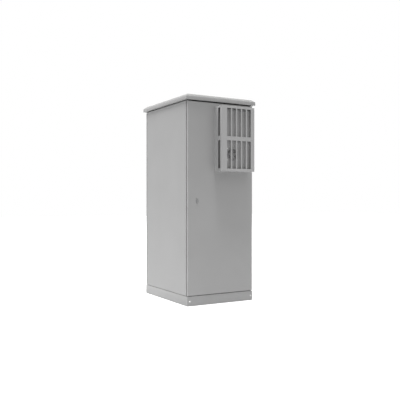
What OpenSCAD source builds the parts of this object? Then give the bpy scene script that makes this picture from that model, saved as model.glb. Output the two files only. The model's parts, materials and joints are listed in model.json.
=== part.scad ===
/* [Cabinet] */
// Width across the side panels
cabinet_w = 800; // [760:10:1000]
// Depth across the plinth covers
cabinet_d = 1000; // [900:10:1200]
// Height from the plinth's top to the roof's rim
body_h = 2000; // [1980:10:2200]
// Sheet of door, panels, hood and roof
sheet_t = 2; // [1.5:0.1:2.5]
// Outer bend radius of folded sheet edges
bend_r = 4; // [3:0.5:6]
// Steel of the posts and pans
frame_t = 2.5; // [2:0.1:3]
// Seam between panels that lie edge to edge
seam = 2; // [1:0.5:4]
// Clearance between parts that fit into each other
fit = 0.3; // [0.2:0.05:0.5]
// Radial running clearance of pins and shafts
run = 0.05; // [0.03:0.01:0.1]

/* [Plinth] */
// Height of the plinth
plinth_h = 100; // [80:5:200]
// Plate of the plinth's sides
plinth_t = 3; // [2:0.5:5]
// Width of the plinth's inward flanges
plinth_flange = 60; // [56:1:80]
// Diameter of the floor anchor holes
anchor_d = 14; // [10:0.5:18]
// Distance of the anchor holes from the plinth's side
anchor_inset = 30; // [26:1:36]
// Distance between the anchor holes along the depth
anchor_pitch = 800; // [600:10:840]
// Distance of the cover screws from the plinth's side
cover_screw_inset = 25; // [18:1:36]
// Shank diameter of the cover screws
cover_screw_d = 8; // [5:0.5:10]
// Head diameter of the cover screws
cover_head_d = 16; // [12:0.5:20]
// Head height of the cover screws
cover_head_h = 4; // [2:0.5:6]
// Length of the cover screws under the head
cover_screw_l = 16; // [10:1:30]
// Inward fold along the covers' upper and lower edge
cover_fold = 15; // [10:1:25]

/* [Frame] */
// Width of the posts' sealing face
post_face = 58; // [54:1:64]
// Depth of the posts' side web
post_side = 50; // [40:1:70]
// Width of the posts' inner return
post_return = 28; // [22:1:36]
// Rearward lip along the door opening
post_lip = 15; // [10:1:20]
// Height of the floor and top pans' rims
pan_rim = 60; // [56:1:70]
// Width of the gland cut-out in the floor pan
gland_w = 280; // [200:10:320]
// Depth of the gland cut-out in the floor pan
gland_d = 180; // [120:10:200]
// Distance of the gland cut-out's middle behind the cabinet's middle
gland_back = 250; // [150:10:280]
// Overlap of the gland plate around its cut-out
gland_lap = 20; // [15:1:30]
// Number of cable grommets in a row
grommet_cols = 3; // [2:1:3]
// Number of rows of grommets
grommet_rows = 2; // [1:1:2]
// Hole for a cable grommet
grommet_d = 50; // [40:1:56]
// Distance between grommets
grommet_pitch = 84; // [78:1:90]
// Height of a grommet's stepped cone
grommet_h = 16; // [10:1:24]
// Bolts between plinth and floor pan, thread diameter
base_bolt_d = 12; // [8:1:14]
// Distance of the base bolts from the plinth's side
base_bolt_inset = 45; // [42:1:48]
// Distance of the base bolts from the sealing face
base_bolt_back = 90; // [80:5:140]

/* [Side and rear panels] */
// Depth of the side panels' folded edges
panel_return = 14; // [12:1:16]
// Thread diameter of the rear panel's bolts
rear_bolt_d = 8; // [6:1:8]
// Distance of the rear panel's bolts from the panel's edge
rear_bolt_edge = 22; // [21:0.5:23]
// Number of rear panel bolts along each side
rear_bolts = 4; // [3:1:6]

/* [Roof] */
// Overhang beyond the plinth on each side
roof_overhang = 25; // [15:1:60]
// Gap between the body and the roof's rim
roof_gap = 3; // [2:0.5:8]
// Height of the upright rim
roof_rim = 36; // [25:1:60]
// Rise of the chamfer
roof_rise = 24; // [12:1:40]
// Run of the chamfer
roof_run = 30; // [15:1:50]
// Inward fold along the rim's lower edge
roof_fold = 20; // [12:1:24]
// Distance of the roof bearers' webs from the frame's sides
bearer_inset = 86; // [50:1:160]
// Width of the bearers' flanges
bearer_flange = 40; // [30:1:60]
// Distance of the bearers' ends from the sealing face
bearer_end = 60; // [40:5:120]
// Thread diameter of the roof bolts
roof_bolt_d = 10; // [8:1:12]

/* [Door] */
// Door edge set in from the side panel's face
door_inset = 4; // [2:0.5:8]
// Door face ahead of the plinth's face
door_proud = 5; // [2:0.5:10]
// Depth of the door's folded edge
door_t = 25; // [22:1:32]
// Gap under the door
door_gap_low = 6; // [4:1:12]
// Gap above the door
door_gap_top = 8; // [4:1:14]
// Width of the door's inner lip
door_lip = 45; // [42:1:52]
// Space between the door's lip and the sealing face
seal_t = 10; // [9.5:0.5:13]
// Width of the seal
seal_w = 10; // [8:1:12]
// Distance of the seal from the door's edge
seal_edge = 33; // [32:1:36]
// Width of the lock-side stiffener
stiff_lock_w = 78; // [72:1:84]
// Width of the hinge-side stiffener
stiff_hinge_w = 16; // [12:1:17]
// Gap between the hinge-side stiffener and the door's lip
stiff_gap = 3; // [2:0.5:6]
// Distance of the stiffeners' ends from the door's edge
stiff_end = 60; // [50:5:120]

/* [Hinges] */
// Number of hinges
hinges = 3; // [2:1:4]
// Height of a hinge
hinge_h = 90; // [60:5:140]
// Distance of the outer hinges' middle from the door's edge
hinge_end = 180; // [120:10:300]
// Thickness of the hinge leaves
leaf_t = 2.5; // [2:0.25:3]
// Width of a leaf from its free edge to the pin
leaf_w = 27; // [20:1:29]
// Diameter of the hinge pins
hinge_pin_d = 4.5; // [4:0.25:4.75]
// Diameter of the knuckles
knuckle_d = 9; // [8:0.25:9.5]
// Gap between knuckles along the pin
knuckle_gap = 0.5; // [0.3:0.1:1]
// Pin's axis set in from the door's edge
pin_inset = 1.5; // [0.5:0.25:2]
// Head height of the hinge pins
pin_head_h = 3; // [2:0.5:5]

/* [Lock] */
// Height of the lock above the ground
lock_z = 1076; // [900:1:1200]
// Distance of the lock from the door's free edge
lock_edge = 107; // [100:1:120]
// Radius of the lock plate round the core
plate_r = 15; // [13:0.5:18]
// Radius of the lock plate's lower end
plate_low_r = 11; // [8:0.5:12]
// Distance of the plate's lower end below the core
plate_drop = 20; // [14:1:26]
// Distance of the flap's pin above the core
flap_rise = 20; // [19:0.5:24]
// Thickness of the lock plate
plate_t = 4; // [3:0.5:6]
// Diameter of the lock's shank
shank_d = 22; // [20:0.5:25]
// Length of the lock's shank behind the door's face
shank_l = 16; // [12:1:18]
// Width of the lock nut across its flats
nut_af = 30; // [28:1:34]
// Thickness of the lock nut
nut_t = 6; // [4:0.5:8]
// Diameter of the turning core
core_d = 14; // [10:0.5:16]
// Diameter of the core's head
core_head_d = 18; // [17:0.5:20]
// Thickness of the core's head
core_head_t = 2; // [1:0.5:2.5]
// Width of the key slot
key_w = 2.5; // [1.5:0.25:4]
// Length of the key slot
key_l = 9; // [6:0.5:10]
// Depth of the key slot
key_deep = 8; // [4:1:12]
// Thickness of the dust flap
flap_t = 2; // [1.5:0.25:3]
// Diameter of the flap's pin
flap_pin_d = 2.5; // [2:0.25:3]
// Diameter of the flap's rolled eye
flap_eye_d = 6; // [5:0.25:7]
// Width of the flap's eye
flap_eye_w = 10; // [8:0.5:14]
// Thickness of the ears that hold the flap's pin
ear_t = 3; // [2:0.25:4]

/* [Rods] */
// Radius of the drive pins on the cam
drive_r = 22; // [20:0.5:23]
// Diameter of the drive pins
drive_d = 8; // [6:0.5:9]
// Radius of the cam's ends round the drive pins
cam_end_r = 8; // [7:0.5:9]
// Width of the cam's arms
cam_arm = 12; // [10:0.5:13]
// Thickness of the cam
cam_t = 4; // [3:0.5:5]
// Width of the rods
rod_w = 16; // [12:1:18]
// Thickness of the rods
rod_t = 6; // [4:0.5:8]
// Gap between the pans' rims and the rods when locked
rod_behind = 3; // [2:0.5:5]
// Gap between the rods' tips and the rims when unlocked
rod_free = 6; // [4:1:12]
// Height of the slotted rod end
rod_eye_h = 24; // [22:1:28]
// Wall beside the slot of the rod end
rod_eye_wall = 5; // [3:0.5:6]
// Play of the drive pin along the rod
drive_play = 1; // [0.9:0.1:1.5]
// Wall of the rod guides
guide_wall = 5; // [3:0.5:6]
// Height of the rod guides
guide_h = 14; // [10:1:24]
// Distance of the inner guides from the lock
guide_near = 260; // [120:10:300]
// Distance of the outer guides from the rods' tips
guide_tip = 70; // [40:5:160]

/* [Cooling hood] */
// Width of the hood
hood_w = 414; // [400:2:420]
// Height of the hood
hood_h = 672; // [620:4:720]
// Depth of the hood
hood_d = 137; // [125:1:180]
// Distance of the hood from the door's hinge edge
hood_edge = 66; // [65:1:80]
// Distance of the hood from the door's top
hood_drop = 40; // [38:1:80]
// Bend radius of the hood's edges
hood_r = 4; // [3:0.5:8]
// Inward fold that meets the door
hood_fold = 12; // [10:1:14]
// Number of slots in a row
slot_cols = 5; // [3:1:5]
// Number of rows of slots
slot_rows = 2; // [1:1:3]
// Width of a slot
slot_w = 47; // [30:1:50]
// Bar between slots
slot_bar = 15; // [10:1:20]
// Offset of the slots towards the hinge side
slot_shift = 11; // [0:1:16]
// Bar between rows of slots
slot_mid = 43; // [20:1:60]
// Sheet above the upper row
slot_top = 23; // [12:1:40]
// Sheet below the lower row
slot_low = 27; // [12:1:40]
// Distance of the side slots from the door
side_slot_from = 77; // [60:1:80]
// Width of the side slots
side_slot_w = 39; // [20:1:42]
// Thread diameter of the hood bolts
hood_bolt_d = 6; // [4:0.5:6]
// Number of hood bolts along each side
hood_bolts = 3; // [2:1:5]

/* [Cooling unit] */
// Gap between casing and hood on both sides
casing_side = 18; // [16:1:30]
// Gap between casing and hood at the bottom
casing_low = 30; // [20:1:50]
// Gap between casing and hood at the top
casing_top = 24; // [18:1:50]
// Depth of the casing
casing_d = 112; // [100:1:116]
// Number of outlet slots in the casing's top
outlets = 5; // [3:1:6]
// Depth of an outlet slot
outlet_d = 40; // [20:1:60]
// Bar between outlet slots
outlet_bar = 14; // [8:1:20]
// Diameter of the fan openings
fan_d = 116; // [100:2:124]
// Distance of the fans from the casing's left side
fan_side = 132; // [110:1:190]
// Distance of the fans from the casing's lower edge
fan_low = 146; // [110:1:160]
// Edge of the square fan frame
fan_frame = 132; // [130:2:150]
// Length of the fan's ring
fan_ring_l = 40; // [36:1:46]
// Wall of the fan frame and ring
fan_wall = 2.5; // [2:0.25:3]
// Number of struts behind the rotor
fan_struts = 4; // [3:1:6]
// Width of a strut
strut_w = 8; // [5:0.5:12]
// Number of rotor blades
fan_blades = 7; // [5:1:9]
// Pitch of the blades against the fan's plane
blade_pitch = 32; // [25:1:38]
// Thickness of a blade
blade_t = 2.5; // [1.5:0.25:3]
// Gap between blade tips and ring
blade_gap = 2; // [1:0.5:4]
// Diameter of the rotor's hub
fan_hub_d = 50; // [40:1:56]
// Length of the rotor's hub
fan_hub_l = 26; // [20:1:28]
// Diameter of the motors
motor_d = 44; // [36:1:50]
// Length of the motors
motor_l = 32; // [24:1:36]
// Diameter of the rotor's shaft
fan_shaft_d = 8; // [5:0.5:10]
// Diameter of the guard's wire
guard_wire_d = 3; // [2:0.25:4]
// Number of rings in a guard
guard_rings = 6; // [3:1:8]
// Lap of the guard's outer ring beyond the opening
guard_lap = 4; // [3:0.5:6]
// Gap between fan and exchanger core
core_over_fan = 30; // [20:1:60]
// Gap between the core and the casing's walls
core_gap = 12; // [8:1:20]
// Flange of the core on the door's face
core_flange = 9; // [6:0.5:10]
// Number of fins in the core
core_fins = 32; // [12:1:48]
// Thickness of a fin
fin_t = 1.5; // [1:0.25:2]
// End plates of the core
core_plate = 3; // [2:0.5:5]
// Depth of the inner housing behind the door's sheet
inner_d = 163; // [130:1:170]
// Inner housing set in from the hood's outline
inner_inset = 22; // [18:1:26]
// Number of return slots in the inner housing
return_slots = 8; // [4:1:10]
// Height of a return slot
return_slot_h = 10; // [6:1:16]

/* [Mounting rails] */
// Clear width between the rails
rail_clear = 450.8; // [450:0.2:452]
// Distance between the rails' rows of holes
rail_pitch = 465.1; // [464.8:0.1:465.4]
// Number of height units
rail_units = 40; // [30:1:40]
// Height unit
unit_h = 44.45; // [44.45:0.01:44.46]
// Edge of the square holes
rail_hole = 9.5; // [9:0.1:10]
// Rail beyond the first and last unit
rail_end = 20; // [10:1:30]
// Height of the rails' foot above the floor pan
rail_foot = 68; // [66:1:90]
// Width of the rails' holed face
rail_face = 40; // [34:1:50]
// Depth of the rails' web
rail_web = 40; // [34:1:60]
// Steel of rails, bars and brackets
rail_t = 2; // [1.5:0.1:3]
// Distance of the rails behind the sealing face
rail_back = 190; // [185:5:240]
// Height of the depth bars
bar_h = 40; // [30:1:60]
// Width of the depth bars
bar_w = 24; // [18:1:26]
// Distance of the outer depth bars from the rails' ends
bar_end = 40; // [35:1:120]
// Levels of depth bars
bar_levels = 3; // [2:1:4]
// Height of the rail brackets' tabs
bracket_h = 36; // [24:1:40]
// Depth of the rail brackets
bracket_d = 28; // [20:1:30]
// Length of the earth bar
earth_l = 320; // [200:10:400]
// Height of the earth bar
earth_h = 24; // [20:1:30]
// Thickness of the earth bar
earth_t = 6; // [4:0.5:8]
// Number of terminal holes in the earth bar
earth_holes = 8; // [4:1:10]
// Diameter of the terminal holes
earth_hole_d = 9; // [6:0.5:11]
// Diameter of the earth bar's insulators
insulator_d = 20; // [16:1:24]
// Length of the earth bar's insulators
insulator_l = 25; // [15:1:40]

/* [Hidden] */
$fn = 48;

// Cut beyond a face
eps = 1;
// Hexagon: width across corners over width across flats
hex = 1 / cos(30);

// Main planes of the cabinet
half_w = cabinet_w / 2;
half_d = cabinet_d / 2;
body_z0 = plinth_h;
body_z1 = plinth_h + body_h;

// Sealing frame: outer faces, clear height and door opening
frame_x = half_w - panel_return;
frame_y = half_d + door_proud - door_t - seal_t;
frame_z0 = body_z0 + frame_t;
pan_z1 = body_z1 - seam;
frame_z1 = pan_z1 - frame_t;
open_x = frame_x - post_face;
open_z0 = body_z0 + pan_rim;
open_z1 = pan_z1 - pan_rim;

// Door planes
door_w = cabinet_w - 2 * door_inset;
door_z0 = body_z0 + door_gap_low;
door_z1 = body_z1 - door_gap_top;
door_h = door_z1 - door_z0;
door_y0 = -half_d - door_proud;
door_y1 = door_y0 + door_t;
sheet_y = door_y0 + sheet_t;
stiff_y1 = door_y1 + sheet_t;

// Grommet lips, bolt heads and bolt lengths
grommet_lip = 4;
grommet_lip_t = 3;
grommet_tip_d = 20;
bolt_head = 0.65;
bolt_af = 1.6;
base_bolt_l = 30;
rear_bolt_l = seal_t + frame_t + sheet_t + 8;
roof_bolt_l = frame_t + 14;
bearer_x = frame_x - bearer_inset;
hood_bolt_l = 2 * sheet_t + 8;

// Roof shell
roof_z0 = body_z1 + roof_gap;
roof_top = roof_z0 + roof_rim + roof_rise;
roof_slope = atan(roof_rise / roof_run);

// Hinge axis
hinge_x = door_w / 2 - pin_inset;
hinge_y = door_y1 + seal_t / 2;
hinge_step = (door_h - 2 * hinge_end) / (hinges - 1);
knuckle_h = hinge_h / 3;

// Lock and rods
lock_x = -door_w / 2 + lock_edge;
plate_y = door_y0 - plate_t;
flap_y = plate_y - fit - flap_eye_d / 2;
flap_z = lock_z + flap_rise;
rod_y0 = -frame_y + frame_t + rod_behind;
rod_y1 = rod_y0 + rod_t;
cam_y1 = rod_y0 - 2 * fit;
cam_y0 = cam_y1 - cam_t;
cam_square = core_d * 0.65;
drive_side = drive_r * cos(45);
rod_off = (drive_r + drive_side) / 2;
slot_half = (drive_r - drive_side) / 2 + drive_d / 2 + 2 * fit;
rod_tip_z = [open_z1 - rod_free, open_z0 + rod_free];

// Cooling unit
hood_x1 = door_w / 2 - hood_edge;
hood_x0 = hood_x1 - hood_w;
hood_z1 = door_z1 - hood_drop;
hood_z0 = hood_z1 - hood_h;
slot_h = (hood_h - slot_top - slot_low - (slot_rows - 1) * slot_mid) / slot_rows;
slot_pitch = slot_w + slot_bar;
slots_w = slot_cols * slot_pitch - slot_bar;
casing_x0 = hood_x0 + casing_side;
casing_x1 = hood_x1 - casing_side;
casing_z0 = hood_z0 + casing_low;
casing_z1 = hood_z1 - casing_top;
casing_y0 = door_y0 - casing_d;
fan_x = casing_x0 + fan_side;
fan_z = casing_z0 + fan_low;
core_x0 = casing_x0 + core_gap;
core_x1 = casing_x1 - core_gap;
core_z0 = fan_z + fan_frame / 2 + core_over_fan - core_gap;
core_z1 = casing_z1 - core_gap;
inner_x0 = hood_x0 + inner_inset;
inner_x1 = hood_x1 - inner_inset;
inner_z0 = hood_z0 + inner_inset;
inner_free = 8;
inner_z1 = open_z1 - inner_free;
inner_y1 = sheet_y + inner_d;
core_y0 = casing_y0 + sheet_t + 5;
core_y1 = inner_y1 - core_gap;
guard_bar_d = guard_wire_d + 0.8;
guard_r = fan_d / 2 + guard_lap;
rotor_gap = 3;
seat_y = fan_ring_l - 2 * fan_wall;
rotor_y1 = seat_y - rotor_gap;
rotor_y0 = rotor_y1 - fan_hub_l;
motor_floor = 4;

// Rails
rail_x0 = rail_clear / 2;
rail_x1 = rail_x0 + rail_face;
rail_y = frame_y - rail_back;
rail_z0 = frame_z0 + rail_foot;
rail_l = rail_units * unit_h + 2 * rail_end;
bar_x0 = frame_x - post_return;
bar_z0 = rail_z0 + bar_end;
bar_step = (rail_l - 2 * bar_end) / (bar_levels - 1);
hole_rows = [6.35, 22.225, 38.1];
earth_z = (frame_z0 + open_z0) / 2;
earth_y1 = frame_y - frame_t - insulator_l;

// Colours
paint = [0.74, 0.74, 0.74];
zinc = [0.62, 0.63, 0.64];
steel = [0.5, 0.5, 0.52];
black = [0.14, 0.14, 0.15];
casing_grey = [0.67, 0.67, 0.67];
fan_grey = [0.73, 0.73, 0.74];
lock_grey = [0.62, 0.63, 0.64];
rubber = [0.1, 0.1, 0.1];
brass = [0.78, 0.62, 0.32];
fins = [0.66, 0.67, 0.69];

// Box between two corners
module block(x0, x1, y0, y1, z0, z1) {
    translate([x0, y0, z0])
        cube([x1 - x0, y1 - y0, z1 - z0]);
}

// Round bar along Y, from its start towards the rear
module bar_y(d, l) {
    rotate([-90, 0, 0])
        cylinder(d = d, h = l);
}

// Round bar along X, centred
module bar_x(d, l) {
    rotate([0, 90, 0])
        cylinder(d = d, h = l, center = true);
}

// Hexagon bolt along +Z, its head below the plane of its seat
module hex_bolt(d, l) {
    cylinder(d = d, h = l);
    translate([0, 0, -bolt_head * d])
        cylinder(d = bolt_af * d * hex, h = bolt_head * d, $fn = 6);
}

// The children and their mirror image in X, or in Y
module both_x() {
    children();
    mirror([1, 0, 0])
        children();
}
module both_y() {
    children();
    mirror([0, 1, 0])
        children();
}

// Section of a sheet folded back at both sides, front bends at y = 0
module bend_section(w, d, r) {
    translate([-w / 2, r])
        square([w, d - r]);
    translate([-w / 2 + r, 0])
        square([w - 2 * r, d]);
    for (side = [-1, 1])
        translate([side * (w / 2 - r), r])
            circle(r);
}

// Body with rounded front edges on all four sides, front face at y = 0
module bent_body(w, h, d, r) {
    intersection() {
        linear_extrude(h)
            bend_section(w, d, r);
        translate([-w / 2, 0, h / 2])
            rotate([0, 90, 0])
                linear_extrude(w)
                    bend_section(h, d, r);
    }
}

// Folded tray, open at the back, with an inward lip where lip is above 0
module tray(w, h, d, r, lip) {
    difference() {
        bent_body(w, h, d, r);
        translate([0, sheet_t, sheet_t])
            bent_body(w - 2 * sheet_t, h - 2 * sheet_t, d - (lip > 0 ? 2 : 0) * sheet_t, r - sheet_t);
        if (lip > 0)
            block(-w / 2 + lip, w / 2 - lip, d - sheet_t - eps, d + eps, lip, h - lip);
    }
}

// Ring of seal round the door, y0 to y1
module seal_ring(y0, y1) {
    x = door_w / 2 - seal_edge;
    difference() {
        block(-x, x, y0, y1, door_z0 + seal_edge, door_z1 - seal_edge);
        block(-x + seal_w, x - seal_w, y0 - eps, y1 + eps,
            door_z0 + seal_edge + seal_w, door_z1 - seal_edge - seal_w);
    }
}

// Plinth
module plinth_side() {
    x0 = half_w - plinth_flange;
    y1 = half_d - sheet_t;
    difference() {
        block(x0, half_w, -y1, y1, 0, plinth_h);
        block(x0 - eps, half_w - plinth_t, -y1 + plinth_t, y1 - plinth_t, plinth_t, plinth_h - plinth_t);
        both_y() {
            translate([half_w - anchor_inset, anchor_pitch / 2, -eps])
                cylinder(d = anchor_d, h = plinth_t + 2 * eps);
            base_bolt_at(plinth_h - plinth_t - eps)
                cylinder(d = base_bolt_d + 2 * fit, h = plinth_t + 2 * eps);
            translate([half_w - cover_screw_inset, y1 - plinth_t - eps, plinth_h / 2])
                bar_y(cover_screw_d + 2 * fit, plinth_t + 2 * eps);
        }
    }
}
module plinth_right() {
    color(paint)
        plinth_side();
}
module plinth_left() {
    color(paint)
        mirror([1, 0, 0])
            plinth_side();
}
module plinth_front_cover() {
    fold_x = half_w - plinth_flange - seam;
    y1 = -half_d + sheet_t;
    color(paint)
        difference() {
            union() {
                block(-half_w, half_w, -half_d, y1, 0, plinth_h);
                for (z = [0, plinth_h - sheet_t])
                    block(-fold_x, fold_x, -half_d, -half_d + cover_fold, z, z + sheet_t);
            }
            both_x()
                translate([half_w - cover_screw_inset, -half_d - eps, plinth_h / 2])
                    bar_y(cover_screw_d + 2 * fit, sheet_t + 2 * eps);
        }
}
module plinth_rear_cover() {
    mirror([0, 1, 0])
        plinth_front_cover();
}
module plinth_screws() {
    color(steel)
        both_x()
            both_y()
                translate([half_w - cover_screw_inset, -half_d - cover_head_h, plinth_h / 2])
                    difference() {
                        union() {
                            bar_y(cover_head_d, cover_head_h);
                            bar_y(cover_screw_d, cover_head_h + cover_screw_l);
                        }
                        translate([0, -eps, 0])
                            rotate([-90, 0, 0])
                                cylinder(d = cover_screw_d * 0.7, h = cover_head_h * 0.6 + eps, $fn = 6);
                    }
}

// Places of the bolts between plinth and floor pan on the right
module base_bolt_at(z) {
    translate([half_w - base_bolt_inset, frame_y - base_bolt_back, z])
        children();
}
module base_bolts() {
    color(steel)
        both_x()
            both_y()
                base_bolt_at(frame_z0)
                    mirror([0, 0, 1])
                        hex_bolt(base_bolt_d, base_bolt_l);
}

// Pan's plate and rims; the plate is at the bottom and the rims stand up
module pan_plate() {
    block(-frame_x, frame_x, -frame_y, frame_y, 0, frame_t);
}
module pan_rims() {
    both_y()
        block(-open_x + fit, open_x - fit, frame_y - frame_t, frame_y, frame_t, pan_rim);
    both_x()
        block(frame_x - frame_t, frame_x, -frame_y + post_side + fit, frame_y - post_side - fit,
            frame_t, pan_rim);
}
module floor_plate() {
    color(zinc)
        difference() {
            translate([0, 0, body_z0])
                pan_plate();
            block(-gland_w / 2, gland_w / 2, gland_back - gland_d / 2, gland_back + gland_d / 2,
                body_z0 - eps, frame_z0 + eps);
            both_x()
                both_y()
                    base_bolt_at(body_z0 - eps)
                        cylinder(d = base_bolt_d + 2 * fit, h = frame_t + 2 * eps);
        }
}
module floor_rims() {
    color(zinc)
        translate([0, 0, body_z0])
            pan_rims();
}
module top_plate() {
    color(zinc)
        difference() {
            translate([0, 0, pan_z1])
                mirror([0, 0, 1])
                    pan_plate();
            roof_bolt_places(frame_z1 - eps)
                cylinder(d = roof_bolt_d + 2 * fit, h = frame_t + 2 * eps);
        }
}
module top_rims() {
    color(zinc)
        translate([0, 0, pan_z1])
            mirror([0, 0, 1])
                pan_rims();
}

// Grommet places on the gland plate
module grommet_places(z) {
    for (i = [0 : grommet_cols - 1])
        for (j = [0 : grommet_rows - 1])
            translate([(i - (grommet_cols - 1) / 2) * grommet_pitch,
                gland_back + (j - (grommet_rows - 1) / 2) * grommet_pitch, z])
                children();
}
module gland_plate() {
    color(zinc)
        difference() {
            block(-gland_w / 2 - gland_lap, gland_w / 2 + gland_lap, gland_back - gland_d / 2 - gland_lap,
                gland_back + gland_d / 2 + gland_lap, frame_z0, frame_z0 + sheet_t);
            grommet_places(frame_z0 - eps)
                cylinder(d = grommet_d, h = sheet_t + 2 * eps);
        }
}
module cable_grommets() {
    neck = grommet_d / 2 - fit;
    lip = grommet_d / 2 + grommet_lip;
    top = sheet_t + grommet_lip_t;
    color(rubber)
        grommet_places(frame_z0)
            rotate_extrude()
                polygon([
                    [0, -grommet_lip_t], [lip, -grommet_lip_t], [lip, 0], [neck, 0], [neck, sheet_t],
                    [lip, sheet_t], [lip, top], [neck, top], [grommet_tip_d / 2, top + grommet_h],
                    [0, top + grommet_h]
                ]);
}

// Corner post at the right rear: sealing face, side web, inner return and lip
module post() {
    y0 = frame_y - post_side;
    linear_extrude(frame_z1 - frame_z0) {
        translate([open_x, frame_y - frame_t])
            square([post_face, frame_t]);
        translate([frame_x - frame_t, y0])
            square([frame_t, post_side]);
        translate([frame_x - post_return, y0])
            square([post_return, frame_t]);
        translate([open_x, frame_y - post_lip])
            square([frame_t, post_lip]);
    }
}
module rear_post() {
    difference() {
        translate([0, 0, frame_z0])
            post();
        rear_bolt_places(frame_y - frame_t - eps)
            bar_y(rear_bolt_d + 2 * fit, frame_t + 2 * eps);
    }
}
module front_post() {
    translate([0, 0, frame_z0])
        mirror([0, 1, 0])
            post();
}
module post_front_left() {
    color(zinc)
        mirror([1, 0, 0])
            front_post();
}
module post_front_right() {
    color(zinc)
        front_post();
}
module post_rear_left() {
    color(zinc)
        mirror([1, 0, 0])
            rear_post();
}
module post_rear_right() {
    color(zinc)
        rear_post();
}

// Side panels
module side_panel_left() {
    color(paint)
        translate([-half_w, 0, body_z0 + seam])
            rotate([0, 0, -90])
                tray(2 * frame_y, body_h - 2 * seam, panel_return, bend_r, 0);
}
module side_panel_right() {
    mirror([1, 0, 0])
        side_panel_left();
}

// Rear panel, its seal and its bolts
module rear_bolt_places(y) {
    step = (door_h - 2 * stiff_end) / (rear_bolts - 1);
    for (i = [0 : rear_bolts - 1])
        translate([door_w / 2 - rear_bolt_edge, y, door_z0 + stiff_end + i * step])
            children();
}
module rear_panel() {
    color(paint)
        difference() {
            translate([0, -door_y0, door_z0])
                mirror([0, 1, 0])
                    tray(door_w, door_h, door_t, bend_r, door_lip);
            both_x()
                rear_bolt_places(-door_y1 - eps)
                    bar_y(rear_bolt_d + 2 * fit, sheet_t + 2 * eps);
        }
}
module rear_gasket() {
    color(rubber)
        seal_ring(frame_y, -door_y1);
}
module rear_panel_bolts() {
    color(steel)
        both_x()
            rear_bolt_places(frame_y - frame_t)
                rotate([-90, 0, 0])
                    hex_bolt(rear_bolt_d, rear_bolt_l);
}

// Roof outline of one direction, t inside the outer skin
module roof_outline(half, t) {
    hw = half + roof_overhang - t;
    rim_z = roof_z0 + roof_rim - t * (1 - sin(roof_slope)) / cos(roof_slope);
    flat_x = half + roof_overhang - roof_run - t * (1 - cos(roof_slope)) / sin(roof_slope);
    polygon([
        [-hw, roof_z0 + t], [hw, roof_z0 + t], [hw, rim_z], [flat_x, roof_top - t],
        [-flat_x, roof_top - t], [-hw, rim_z]
    ]);
}
module roof_body(t) {
    length = cabinet_w + cabinet_d;
    intersection() {
        rotate([90, 0, 0])
            linear_extrude(length, center = true)
                roof_outline(half_w, t);
        rotate([90, 0, 90])
            linear_extrude(length, center = true)
                roof_outline(half_d, t);
    }
}
module roof_canopy() {
    x = half_w + roof_overhang - roof_fold;
    y = half_d + roof_overhang - roof_fold;
    color(paint)
        difference() {
            roof_body(0);
            roof_body(sheet_t);
            block(-x, x, -y, y, roof_z0 - eps, roof_z0 + sheet_t + eps);
        }
}
module roof_bearers() {
    h = roof_top - sheet_t - pan_z1;
    l = 2 * (frame_y - bearer_end);
    color(zinc)
        both_x()
            translate([bearer_x, frame_y - bearer_end, pan_z1])
                rotate([90, 0, 0])
                    difference() {
                        linear_extrude(l) {
                            square([frame_t, h]);
                            square([bearer_flange, frame_t]);
                            translate([0, h - frame_t])
                                square([bearer_flange, frame_t]);
                        }
                        for (end = [bearer_end, l - bearer_end])
                            translate([bearer_flange / 2, -eps, end])
                                rotate([-90, 0, 0])
                                    cylinder(d = roof_bolt_d + 2 * fit, h = frame_t + 2 * eps);
                    }
}
module roof_bolt_places(z) {
    both_x()
        both_y()
            translate([bearer_x + bearer_flange / 2, frame_y - 2 * bearer_end, z])
                children();
}
module roof_bolts() {
    color(steel)
        roof_bolt_places(frame_z1)
            hex_bolt(roof_bolt_d, roof_bolt_l);
}

// Mounting rail at the right rear: holed face and side web
module rail() {
    difference() {
        union() {
            block(rail_x0, rail_x1, rail_y - rail_t, rail_y, rail_z0, rail_z0 + rail_l);
            block(rail_x1 - rail_t, rail_x1, rail_y - rail_web, rail_y, rail_z0, rail_z0 + rail_l);
        }
        translate([rail_pitch / 2 - rail_hole / 2, rail_y + eps, rail_z0 + rail_end - rail_hole / 2])
            rotate([90, 0, 0])
                linear_extrude(rail_t + 2 * eps)
                    for (unit = [0 : rail_units - 1])
                        for (row = hole_rows)
                            translate([0, unit * unit_h + row])
                                square(rail_hole);
    }
}
module rail_front_left() {
    color(zinc)
        rotate([0, 0, 180])
            rail();
}
module rail_front_right() {
    color(zinc)
        mirror([0, 1, 0])
            rail();
}
module rail_rear_left() {
    color(zinc)
        mirror([1, 0, 0])
            rail();
}
module rail_rear_right() {
    color(zinc)
        rail();
}
module depth_bars() {
    l = 2 * (frame_y - post_side);
    color(zinc)
        both_x()
            for (level = [0 : bar_levels - 1])
                translate([bar_x0, l / 2, bar_z0 + level * bar_step - bar_h / 2])
                    rotate([90, 0, 0])
                        linear_extrude(l) {
                            square([rail_t, bar_h]);
                            square([bar_w, rail_t]);
                            translate([0, bar_h - rail_t])
                                square([bar_w, rail_t]);
                        }
}
module rail_brackets() {
    y1 = rail_y - (rail_web - bracket_d) / 2;
    color(zinc)
        both_x()
            both_y()
                for (level = [0 : bar_levels - 1])
                    translate([0, y1 - bracket_d, bar_z0 + level * bar_step]) {
                        block(rail_x1, bar_x0, 0, bracket_d, -rail_t / 2, rail_t / 2);
                        block(rail_x1, rail_x1 + rail_t, 0, bracket_d, -bracket_h / 2, bracket_h / 2);
                        block(bar_x0 - rail_t, bar_x0, 0, bracket_d, -bracket_h / 2, bracket_h / 2);
                    }
}
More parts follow.
